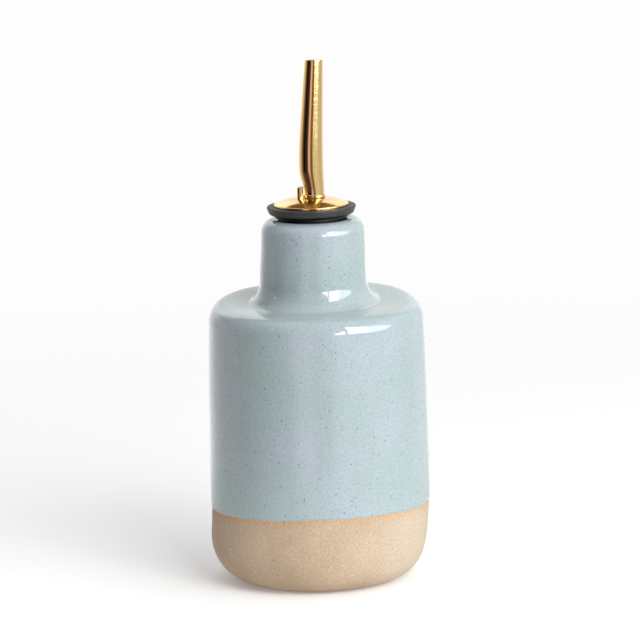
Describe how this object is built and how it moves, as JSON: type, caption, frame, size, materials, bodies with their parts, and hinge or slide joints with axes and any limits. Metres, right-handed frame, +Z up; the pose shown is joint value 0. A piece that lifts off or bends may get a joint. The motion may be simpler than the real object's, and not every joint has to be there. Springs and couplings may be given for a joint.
{
  "type": "oil dispenser",
  "caption": "Oil dispenser: round-shouldered glazed stoneware bottle with a bare clay base, and a ribbed rubber stopper that carries a slightly cranked metal pouring spout and a vent tube.",
  "frame": {"origin": "centre of the foot, on the surface that the bottle stands on", "axes": "+Z up along the bottle's axis, -Y towards the front of the picture, and the spout leans a little towards +X and +Y"},
  "size_m": [0.077, 0.077, 0.181],
  "materials": {
    "glazed_stoneware": "glossy pale blue-grey glaze over speckled bare clay",
    "rubber": "matt dark grey moulded rubber",
    "gold_metal": "polished gold-coloured plating",
    "stem_metal": "plain gold-coloured tube"
  },
  "bodies": {
    "bottle": {"bottle": "glazed_stoneware"},
    "stopper": {"stopper": "rubber"},
    "pourer": {"cap": "gold_metal", "stem": "stem_metal", "spout": "gold_metal", "vent_tube": "gold_metal"}
  },
  "joints": [
    {"name": "pourer_pull", "type": "slide", "parent": "bottle", "child": "stopper", "axis": [0, 0, 1], "range_m": [0, 0.08]},
    {"name": "spout_turn", "type": "hinge", "parent": "stopper", "child": "pourer", "pos_m": [0, 0, 0.1306], "axis": [0, 0, 1], "continuous": true}
  ]
}
